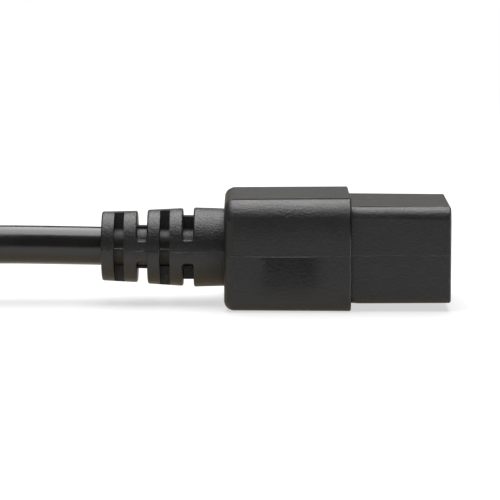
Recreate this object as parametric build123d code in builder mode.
"""Power cord: a 16 A appliance connector, its round cable wound in a tied coil, and the shrouded plug.

Millimetres. The connector lies along X on the plane Z = 0 with its nose towards +X, and the origin is
under the middle of the connector, where it stands. Each moulded end is described in a frame of its own:
u runs across, v runs up, and a station is the distance behind that end's front face.
"""
from build123d import *
from math import atan, cos, degrees, radians, sin, tan
import os

os.makedirs("parts", exist_ok=True)

# Cable: a round jacket over three cores
cable_diameter = 8.6
core_diameter = 3.0
strand_diameter = 1.6
core_circle_radius = 1.9

# Connector: a plain rectangular nose on a slightly larger grip
nose_width = 28.2
nose_height = 21.2
nose_length = 21.8
nose_draft = 0.1
nose_edge_radius = 2.2
nose_front_radius = 0.5
grip_width = 31.4
grip_height = 24.5
grip_length = 27.6
grip_flare = 0.15
grip_edge_radius = 3.5
grip_rear_radius = 2.2
grip_front_radius = 0.35

# Strain relief, from the grip to the cable: round blocks, and the open gaps between them
relief_block_lengths = (6.8, 7.9, 7.9)
relief_block_starts = (17.2, 17.3, 15.9)
relief_block_ends = (17.6, 16.4, 15.3)
relief_gap_lengths = (2.3, 2.2)
relief_core_heights = (14.0, 9.4)
relief_rib_heights = (5.1, 4.4)
relief_rib_corner_radius = 0.6
relief_rib_edge_radius = 0.3
relief_web_thickness = 2.5
relief_slot_width = 2.2
relief_slot_setback = 2.8
relief_rim_radius = 0.45

# Contact carrier and poles
nose_wall = 1.9
insert_recess = 0.3
insert_length = 25.0
insert_edge_radius = 0.8
insert_front_wall = 1.5
flange_rise = 1.0
flange_length = 2.0
pole_spacing = 13.0
pole_rise = 4.0
blade_width = 8.0
blade_thickness = 2.0
slot_side_clearance = 0.4
slot_lead_in = 0.35
chamber_clearance = 0.1

# Folded contacts and their crimps
sheet = 0.6
contact_width = 9.0
contact_height = 4.4
contact_mouth_gap = 3.6
contact_grip_gap = 1.8
contact_mouth_length = 2.7
contact_leaf_length = 7.0
contact_slit_width = 0.8
contact_slit_length = 11.5
contact_bend_radius = 0.7
neck_width = 3.0
neck_lead = 0.5
neck_ramp = 0.7
strand_barrel_length = 2.6
core_barrel_length = 1.9
crimp_seam = 0.3
crimp_bend_radius = 0.4
crimp_pocket_clearance = 0.15

# Inner mould round the crimps
mould_rear_diameter = 13.0
mould_cover = 0.6
jacket_grip_length = 3.0
core_bend_radius = 5.0
core_fan_length = 6.5
core_settle_length = 1.9
fit = 0.03

# Shrouded plug that mates with the same nose
mating_clearance = 0.5
shroud_wall = 1.9
cavity_depth = 20.0
shroud_floor = 3.5
shroud_edge_radius = 2.4
shroud_rim_radius = 0.4
plug_grip_length = 26.5
plug_insert_length = 8.0
blade_reach = 17.0
earth_lead = 1.5
blade_tip_chamfer = 0.5
blade_carrier_side = 0.5

# Coil: cable turns, two side by side and three high, bound by two straps
strap_thickness = 0.8
strap_bearings = (30.0, 150.0)
strap_arc = 11.0
coil_slack = 0.3
coil_radius = 47.6
coil_centre_x = -119.0
coil_centre_y = 36.0
turns_across = 2
turns_high = 3

# How far a hidden root or a cut runs on past the face that it has to reach
overrun = 1.0

# Sizes that follow from the ones above
insert_width = nose_width - 2 * nose_wall
insert_height = nose_height - 2 * nose_wall
relief_length = sum(relief_block_lengths) + sum(relief_gap_lengths)
connector_length = nose_length + grip_length + relief_length
cavity_width = nose_width + 2 * mating_clearance
cavity_height = nose_height + 2 * mating_clearance
shroud_width = cavity_width + 2 * shroud_wall
shroud_height = cavity_height + 2 * shroud_wall
shroud_length = cavity_depth + shroud_floor
plug_length = shroud_length + plug_grip_length + relief_length
plug_insert_width = insert_width + 2 * blade_carrier_side
plug_insert_rear = cavity_depth + plug_insert_length
strand_barrel_radius = strand_diameter / 2 + fit
core_barrel_radius = core_diameter / 2 + fit

# Lengths along the cable, counted back from the strip's start at a contact or a blade
strand_tip = neck_lead + neck_ramp + fit
core_tip = neck_lead + 2 * neck_ramp + strand_barrel_length + fit
crimp_length = core_tip + core_barrel_length
fan_start = crimp_length + core_settle_length
fan_stop = fan_start + core_fan_length
jacket_tip = fan_stop + core_settle_length
mould_stop = jacket_tip + jacket_grip_length

poles = {
    "live": (-pole_spacing / 2, -pole_rise),
    "neutral": (pole_spacing / 2, -pole_rise),
    "earth": (0.0, pole_rise),
}
core_bearings = {"live": 210.0, "neutral": 330.0, "earth": 90.0}

# Frames of the two ends, each at the centre of its front face with its Z axis pointing out of it
connector_axis_height = grip_height / 2
plug_axis_height = shroud_height / 2
connector = Plane(origin=(connector_length / 2, 0, connector_axis_height), x_dir=(0, 1, 0), z_dir=(1, 0, 0))

# Centre line of the free cable. The lead-in joins the coil's middle layer, and the tail leaves its
# lowest one and swings round to the plug, which lies beside the coil.
coil_bottom = strap_thickness + coil_slack + cable_diameter / 2
connector_mouth = (-connector_length / 2, 0.0, connector_axis_height)
lead_straight = (-49.0, 0.0, connector_axis_height)
lead_corner = (-64.0, 0.0, 12.6)
coil_entry = (-108.1, -10.3, coil_bottom + cable_diameter)
coil_exit = (coil_centre_x, coil_centre_y - coil_radius, coil_bottom)
tail_corner = (-148.0, -11.9, 6.0)
tail_turn = (-170.3, 1.2, 9.4)
tail_straight = (-183.2, 23.9, plug_axis_height)
plug_mouth = (-183.2, 50.0, plug_axis_height)
lead_joint_share = 0.33
tail_joint_share = 0.5
plug = Plane(
    origin=(plug_mouth[0], plug_mouth[1] + plug_length, plug_mouth[2]), x_dir=(-1, 0, 0), z_dir=(0, 1, 0)
)


def part_way(start, stop, share):
    """The point at this share of a straight run."""
    return Vector(start) + (Vector(stop) - Vector(start)) * share


def at(end, u, v, station):
    """The point of an end's frame at this station."""
    return end.from_local_coords(Vector(u, v, -station))


def side_plane(end, u, v):
    """A plane along an end, seen from its side: x is the station and y is up."""
    return Plane(origin=at(end, u, v, 0), x_dir=-end.z_dir, z_dir=end.x_dir)


def rounded(end, station, width, height, radius):
    """A rounded rectangle across an end."""
    with BuildSketch(end.offset(-station)) as outline:
        RectangleRounded(width, height, radius)
    return outline.sketch


def disc(end, station, diameter, u=0.0, v=0.0):
    """A round section across an end."""
    with BuildSketch(end.offset(-station)) as outline:
        with Locations((u, v)):
            Circle(diameter / 2)
    return outline.sketch


def outer_edges(part, end, front):
    """The edges round the foremost or rearmost flat face of a block."""
    faces = part.faces().sort_by(Axis(end.origin, end.z_dir))
    face = faces[-1] if front else faces[0]
    return face.edges()


def add_rib(end, front, rear, diameter, height):
    """A flat rib across the gap between two blocks, flush with them and wider where it meets them."""
    middle = (front + rear) / 2
    rise = (height + diameter) / 2
    with BuildSketch(side_plane(end, -diameter / 2, 0)) as side:
        with Locations((middle, 0)):
            Rectangle(rear - front + 2 * relief_rim_radius, height + 2 * relief_rib_corner_radius)
        with Locations((middle, rise), (middle, -rise)):
            RectangleRounded(rear - front, diameter, relief_rib_corner_radius, mode=Mode.SUBTRACT)
    bar = extrude(side.sketch, amount=diameter, mode=Mode.PRIVATE)
    outside = disc(end, front - overrun, diameter)
    rib = bar & extrude(outside, amount=front - rear - 2 * overrun, mode=Mode.PRIVATE)
    rims = []
    for edge in rib.edges():
        place = end.to_local_coords(edge.center())
        if abs(place.X) > overrun and front < -place.Z < rear:
            rims.append(edge)
    add(rib.fillet(relief_rib_edge_radius, rims))


def add_strain_relief(end, start):
    """Round tapered blocks joined by an upright web and, in each open gap, by a flat rib."""
    profile = side_plane(end, 0, 0)
    axis = Axis(end.origin, end.z_dir)
    station = start
    for index, length in enumerate(relief_block_lengths):
        stop = station + length
        with BuildSketch(profile) as block:
            with BuildLine():
                Polyline(
                    (station, 0),
                    (station, relief_block_starts[index] / 2),
                    (stop, relief_block_ends[index] / 2),
                    (stop, 0),
                    close=True,
                )
            make_face()
            rims = block.vertices().sort_by(Axis.Y)[-2:].sort_by(Axis.X)
            fillet(rims[1:] if index == 0 else rims, radius=relief_rim_radius)
        revolve(block.sketch, axis=axis)
        if index:
            slot = stop - relief_slot_setback - relief_slot_width
            wing = relief_block_starts[0]
            with BuildSketch(end.offset(-slot)) as wings:
                with Locations(
                    ((relief_web_thickness + wing) / 2, 0), (-(relief_web_thickness + wing) / 2, 0)
                ):
                    Rectangle(wing, 2 * wing)
            extrude(wings.sketch, amount=-relief_slot_width, mode=Mode.SUBTRACT)
        if index < len(relief_gap_lengths):
            gap = relief_gap_lengths[index]
            with BuildSketch(end.offset(-stop)) as web:
                Rectangle(relief_web_thickness, relief_core_heights[index])
            extrude(web.sketch, amount=-gap)
            flush_diameter = min(relief_block_ends[index], relief_block_starts[index + 1])
            add_rib(end, stop, stop + gap, flush_diameter, relief_rib_heights[index])
            stop += gap
        station = stop


def crimp_levels(entry_level):
    """Height of the strip's middle at the contact, under the strand and under the core."""
    return entry_level, -(strand_barrel_radius + sheet / 2), -(core_barrel_radius + sheet / 2)


def add_crimp_tail(end, pole, start, entry_level):
    """A strip that runs back from a contact, with a barrel round the strand and one round the core."""
    u, v = pole
    level, strand_level, core_level = crimp_levels(entry_level)
    strand_start = start + neck_lead + neck_ramp
    core_start = strand_start + strand_barrel_length + neck_ramp
    with BuildSketch(side_plane(end, u - neck_width / 2, v)) as strip:
        with BuildLine() as bend:
            FilletPolyline(
                (start - sheet / 2, level),
                (start + neck_lead, level),
                (strand_start, strand_level),
                (strand_start + strand_barrel_length, strand_level),
                (core_start, core_level),
                (core_start + core_barrel_length, core_level),
                radius=crimp_bend_radius,
            )
        trace(bend.line, line_width=sheet)
    extrude(strip.sketch, amount=neck_width)
    barrels = (
        (strand_start, strand_barrel_length, strand_barrel_radius),
        (core_start, core_barrel_length, core_barrel_radius),
    )
    for station, length, radius in barrels:
        with BuildSketch(end.offset(-station)) as ring:
            with Locations((u, v)):
                Circle(radius + sheet)
                Circle(radius, mode=Mode.SUBTRACT)
            with Locations((u, v + radius + sheet / 2)):
                Rectangle(crimp_seam, 2 * sheet, mode=Mode.SUBTRACT)
        extrude(ring.sketch, amount=-length)
        extrude(disc(end, station, 2 * radius, u, v), amount=-length, mode=Mode.SUBTRACT)


def core_points(end, name, tail, first, last):
    """A core's route, from its crimp at the station first to its place in the cable."""
    u, v = poles[name]
    bearing = radians(core_bearings[name])
    cable_u = core_circle_radius * cos(bearing)
    cable_v = core_circle_radius * sin(bearing)
    return [
        at(end, u, v, first),
        at(end, u, v, tail + fan_start),
        at(end, cable_u, cable_v, tail + fan_stop),
        at(end, cable_u, cable_v, last),
    ]


def swept(points, outer, inner=0.0, radii=core_bend_radius):
    """A round rod or tube along straight runs joined by arcs."""
    with BuildPart() as rod:
        with BuildLine() as path:
            FilletPolyline(*points, radius=radii)
        with BuildSketch(Plane(origin=path.line @ 0, z_dir=path.line % 0)) as section:
            Circle(outer / 2)
            if inner:
                Circle(inner / 2, mode=Mode.SUBTRACT)
        sweep(section.sketch, path=path.line)
    return rod.part


def add_mould_form(end, start, width, tail, mode=Mode.ADD):
    """The inner mould's outside: a block over the crimps that draws in to a round neck."""
    shoulder = tail + crimp_length + mould_cover
    straight = rounded(end, start, width, insert_height, insert_edge_radius)
    extrude(straight, amount=start - shoulder, mode=mode)
    loft(
        [
            rounded(end, shoulder, width, insert_height, insert_edge_radius),
            disc(end, tail + mould_stop, mould_rear_diameter),
        ],
        mode=mode,
    )


def inner_mould(end, start, width, tail):
    """The mould with room for the crimps, the cores and the end of the jacket."""
    jacket_front = tail + jacket_tip
    pocket = 2 * (core_barrel_radius + sheet + crimp_pocket_clearance)
    pocket_rear = tail + crimp_length + crimp_pocket_clearance
    core_rooms = []
    for name in poles:
        route = core_points(end, name, tail, tail + core_tip, jacket_front + overrun)
        core_rooms.append(swept(route, core_diameter + 2 * fit))
    with BuildPart() as mould:
        add_mould_form(end, start, width, tail)
        jacket = disc(end, jacket_front, cable_diameter + 2 * fit)
        extrude(jacket, amount=-jacket_grip_length, mode=Mode.SUBTRACT)
        with BuildSketch(end.offset(-start)) as crimp_rooms:
            with Locations(*poles.values()):
                Rectangle(pocket, pocket)
        extrude(crimp_rooms.sketch, amount=start - pocket_rear, mode=Mode.SUBTRACT)
        add(core_rooms, mode=Mode.SUBTRACT)
    return mould.part


def add_cable_room(end, tail, length):
    """Opens the relief for the cable, from the inner mould to its mouth."""
    room = disc(end, tail + mould_stop - jacket_grip_length, cable_diameter + 2 * fit)
    extrude(room, amount=tail + jacket_tip - length, mode=Mode.SUBTRACT)


def held_jacket(end, front, length):
    """The cable's jacket from the inner mould to the relief's mouth, bored for its three cores."""
    with BuildPart() as jacket:
        extrude(disc(end, front, cable_diameter), amount=front - length)
        for bearing in core_bearings.values():
            u = core_circle_radius * cos(radians(bearing))
            v = core_circle_radius * sin(radians(bearing))
            bore = disc(end, front, core_diameter + 2 * fit, u, v)
            extrude(bore, amount=front - length, mode=Mode.SUBTRACT)
    return jacket.part


def write(shape, name):
    """Labels a finished piece and writes its file."""
    shape.label = name
    export_step(shape, f"parts/{name}.step")
    return shape


def route_radii(points):
    """The largest arc that each corner's shorter run allows."""
    vectors = [Vector(point) for point in points]
    radii = []
    for before, corner, after in zip(vectors, vectors[1:], vectors[2:]):
        turn = (corner - before).get_angle(after - corner)
        shorter = min((corner - before).length, (after - corner).length)
        radii.append(0.45 * shorter / tan(radians(turn / 2)))
    return radii


# Nose: it draws in a little towards its front, and its root lies inside the grip
nose_root = nose_length + overrun
with BuildPart() as nose:
    extrude(
        rounded(connector, nose_root, nose_width, nose_height, nose_edge_radius),
        amount=nose_root,
        taper=degrees(atan(nose_draft / nose_root)),
    )
    fillet(outer_edges(nose, connector, front=True), radius=nose_front_radius)

# Connector body: nose, grip and strain relief moulded as one piece round the carrier and the cable
contact_rear = insert_length - sheet
grip_rear = nose_length + grip_length
with BuildPart() as connector_body:
    rear_width = grip_width - 2 * grip_flare
    rear_height = grip_height - 2 * grip_flare
    extrude(
        rounded(connector, grip_rear, rear_width, rear_height, grip_edge_radius),
        amount=grip_length,
        taper=-degrees(atan(grip_flare / grip_length)),
    )
    fillet(outer_edges(connector_body, connector, front=False), radius=grip_rear_radius)
    fillet(outer_edges(connector_body, connector, front=True), radius=grip_front_radius)
    add(nose.part)
    add_strain_relief(connector, grip_rear)
    carrier_room = rounded(connector, 0, insert_width, insert_height, insert_edge_radius)
    extrude(carrier_room, amount=-insert_length, mode=Mode.SUBTRACT)
    flange_room = rounded(
        connector,
        insert_length - flange_length,
        insert_width + 2 * flange_rise,
        insert_height + 2 * flange_rise,
        insert_edge_radius,
    )
    extrude(flange_room, amount=-flange_length, mode=Mode.SUBTRACT)
    add_mould_form(connector, insert_length, insert_width, contact_rear, mode=Mode.SUBTRACT)
    add_cable_room(connector, contact_rear, connector_length)
write(connector_body.part, "connector_body")

# Connector insert: a hard carrier with a slot and a chamber for each pole, and a locking flange
with BuildPart() as connector_insert:
    carrier = rounded(connector, insert_recess, insert_width, insert_height, insert_edge_radius)
    extrude(carrier, amount=insert_recess - insert_length)
    flange = rounded(
        connector,
        insert_length - flange_length,
        insert_width + 2 * flange_rise,
        insert_height + 2 * flange_rise,
        insert_edge_radius,
    )
    extrude(flange, amount=-flange_length)
    with BuildSketch(connector.offset(-insert_recess)) as slots:
        with Locations(*poles.values()):
            Rectangle(blade_width + 2 * slot_side_clearance, blade_thickness + 2 * slot_side_clearance)
    extrude(slots.sketch, amount=-insert_front_wall, mode=Mode.SUBTRACT)
    front_face = connector_insert.faces().sort_by(Axis.X)[-1]
    chamfer([wire.edges() for wire in front_face.inner_wires()], length=slot_lead_in)
    chamber_front = insert_recess + insert_front_wall
    with BuildSketch(connector.offset(-chamber_front)) as chambers:
        with Locations(*poles.values()):
            Rectangle(
                contact_width + 2 * chamber_clearance, contact_height + 2 * chamber_clearance
            )
    extrude(chambers.sketch, amount=chamber_front - insert_length, mode=Mode.SUBTRACT)
write(connector_insert.part, "connector_insert")

# Contacts: each one strip of sheet, folded back on itself into two slit leaves that grip a blade
contact_front = chamber_front + chamber_clearance
leaf_level = (contact_height - sheet) / 2
mouth_level = contact_mouth_gap / 2
grip_level = (contact_grip_gap + sheet) / 2
for pole_name, (pole_u, pole_v) in poles.items():
    grip_station = contact_front + contact_mouth_length
    leaf_station = grip_station + contact_leaf_length
    with BuildPart() as contact:
        leaf_plane = side_plane(connector, pole_u - contact_width / 2, pole_v)
        with BuildSketch(leaf_plane) as fold:
            with BuildLine() as fold_line:
                FilletPolyline(
                    (contact_front, mouth_level),
                    (grip_station, grip_level),
                    (leaf_station, leaf_level),
                    (contact_rear, leaf_level),
                    (contact_rear, -leaf_level),
                    (leaf_station, -leaf_level),
                    (grip_station, -grip_level),
                    (contact_front, -mouth_level),
                    radius=contact_bend_radius,
                )
            trace(fold_line.line, line_width=sheet)
        extrude(amount=contact_width)
        with BuildSketch(side_plane(connector, pole_u - contact_slit_width / 2, pole_v)) as slit:
            with Locations((contact_front + contact_slit_length / 2, 0)):
                Rectangle(contact_slit_length, contact_height + sheet)
        extrude(amount=contact_slit_width, mode=Mode.SUBTRACT)
        add_crimp_tail(connector, (pole_u, pole_v), contact_rear, -leaf_level)
    write(contact.part, f"contact_{pole_name}")

# Inner mould and the cable held inside the connector
write(inner_mould(connector, insert_length, insert_width, contact_rear), "connector_inner_mould")
write(held_jacket(connector, contact_rear + jacket_tip, connector_length), "connector_cable_jacket")
for name in poles:
    core_route = core_points(connector, name, contact_rear, contact_rear + core_tip, connector_length)
    write(swept(core_route, core_diameter, strand_diameter + 2 * fit), f"connector_core_{name}")
    strand_route = core_points(connector, name, contact_rear, contact_rear + strand_tip, connector_length)
    write(swept(strand_route, strand_diameter), f"connector_strand_{name}")

# Shroud of the plug: a block as yet, hollowed with the rest of the plug body
with BuildPart() as shroud:
    extrude(rounded(plug, 0, shroud_width, shroud_height, shroud_edge_radius), amount=-shroud_length)
    fillet(outer_edges(shroud, plug, front=False), radius=grip_rear_radius)
    fillet(outer_edges(shroud, plug, front=True), radius=shroud_rim_radius)

# Plug body: the shroud open to the front, then a grip and the same strain relief
plug_grip_rear = shroud_length + plug_grip_length
with BuildPart() as plug_body:
    extrude(
        rounded(plug, shroud_length, grip_width, grip_height, grip_edge_radius),
        amount=-plug_grip_length,
    )
    fillet(outer_edges(plug_body, plug, front=False), radius=grip_rear_radius)
    add(shroud.part)
    add_strain_relief(plug, plug_grip_rear)
    cavity = rounded(plug, 0, cavity_width, cavity_height, nose_edge_radius)
    extrude(cavity, amount=-cavity_depth, mode=Mode.SUBTRACT)
    blade_carrier_room = rounded(
        plug, cavity_depth, plug_insert_width, insert_height, insert_edge_radius
    )
    extrude(blade_carrier_room, amount=-plug_insert_length, mode=Mode.SUBTRACT)
    add_mould_form(plug, plug_insert_rear, plug_insert_width, plug_insert_rear, mode=Mode.SUBTRACT)
    add_cable_room(plug, plug_insert_rear, plug_length)
write(plug_body.part, "plug_body")

# Plug insert: the block that holds the blades
with BuildPart() as plug_insert:
    extrude(
        rounded(plug, cavity_depth, plug_insert_width, insert_height, insert_edge_radius),
        amount=-plug_insert_length,
    )
    with BuildSketch(plug.offset(-cavity_depth)) as blade_rooms:
        with Locations(*poles.values()):
            Rectangle(blade_width + 2 * fit, blade_thickness + 2 * fit)
    extrude(blade_rooms.sketch, amount=-plug_insert_length, mode=Mode.SUBTRACT)
write(plug_insert.part, "plug_insert")

# Blades: the earth blade stands out further, so that it makes first
for pole_name, (pole_u, pole_v) in poles.items():
    reach = blade_reach + (earth_lead if pole_name == "earth" else 0.0)
    tip = cavity_depth - reach
    with BuildPart() as blade:
        with BuildSketch(plug.offset(-tip)) as blade_section:
            with Locations((pole_u, pole_v)):
                Rectangle(blade_width, blade_thickness)
        extrude(amount=tip - plug_insert_rear)
        chamfer(outer_edges(blade, plug, front=True), length=blade_tip_chamfer)
        entry_level = (sheet - blade_thickness) / 2
        add_crimp_tail(plug, (pole_u, pole_v), plug_insert_rear, entry_level)
    write(blade.part, f"blade_{pole_name}")

# Inner mould and the cable held inside the plug
write(inner_mould(plug, plug_insert_rear, plug_insert_width, plug_insert_rear), "plug_inner_mould")
write(held_jacket(plug, plug_insert_rear + jacket_tip, plug_length), "plug_cable_jacket")
for name in poles:
    core_route = core_points(plug, name, plug_insert_rear, plug_insert_rear + core_tip, plug_length)
    write(swept(core_route, core_diameter, strand_diameter + 2 * fit), f"plug_core_{name}")
    strand_route = core_points(plug, name, plug_insert_rear, plug_insert_rear + strand_tip, plug_length)
    write(swept(strand_route, strand_diameter), f"plug_strand_{name}")

# Free cable: straight runs joined by arcs. The coil's own solid takes the cable on to a joint at each
# end, where it is clear of the turns, and there the pieces meet face to face.
lead_joint = part_way(lead_corner, coil_entry, lead_joint_share)
tail_joint = part_way(tail_corner, tail_turn, tail_joint_share)
lead_route = [connector_mouth, lead_straight, lead_corner, lead_joint]
tail_route = [tail_joint, tail_turn, tail_straight, plug_mouth]
lead_radii = route_radii(lead_route)
exit_radius, *tail_radii = route_radii([coil_exit, tail_corner, tail_turn, tail_straight, plug_mouth])
print("lead radii", [round(radius, 1) for radius in lead_radii])
print("tail radii", [round(radius, 1) for radius in [exit_radius] + tail_radii])
cord = swept(lead_route, cable_diameter, radii=lead_radii)
cord_tail = swept(tail_route, cable_diameter, radii=tail_radii)
write(cord, "cord")
write(cord_tail, "cord_tail")

# Coil: the outer shape of its turns, with the stretches that run on from it to the lead-in and the tail
coil_axis = Axis((coil_centre_x, coil_centre_y, 0), (0, 0, 1))
coil_width = turns_across * cable_diameter + 2 * coil_slack
coil_height = turns_high * cable_diameter + 2 * coil_slack
section_radius = coil_radius - (turns_across - 1) * cable_diameter / 2
section_height = strap_thickness + coil_height / 2
section_corner = cable_diameter / 2


def coil_plane(bearing):
    """An upright plane through the coil's axis."""
    across = (cos(radians(bearing)), sin(radians(bearing)), 0)
    facing = (sin(radians(bearing)), -cos(radians(bearing)), 0)
    return Plane(origin=(coil_centre_x, coil_centre_y, 0), x_dir=across, z_dir=facing)


exit_run = swept([coil_exit, tail_corner, tail_joint], cable_diameter, radii=exit_radius)
with BuildPart() as cord_coil:
    with BuildSketch(coil_plane(0)) as coil_section:
        with Locations((section_radius, section_height)):
            RectangleRounded(coil_width, coil_height, section_corner)
    revolve(axis=coil_axis)
    with BuildLine():
        entry_run = Line(lead_joint, coil_entry)
    with BuildSketch(Plane(origin=entry_run @ 0, z_dir=entry_run % 0)):
        Circle(cable_diameter / 2)
    extrude(amount=entry_run.length)
    add(exit_run)
write(cord_coil.part, "cord_coil")

# Straps: each one band round all the turns
for number, bearing in enumerate(strap_bearings, start=1):
    with BuildPart() as strap:
        with BuildSketch(coil_plane(bearing)) as band:
            with Locations((section_radius, section_height)):
                RectangleRounded(
                    coil_width + 2 * strap_thickness,
                    coil_height + 2 * strap_thickness,
                    section_corner + strap_thickness,
                )
                RectangleRounded(coil_width, coil_height, section_corner, mode=Mode.SUBTRACT)
        revolve(axis=coil_axis, revolution_arc=strap_arc)
    write(strap.part, f"coil_strap_{number}")
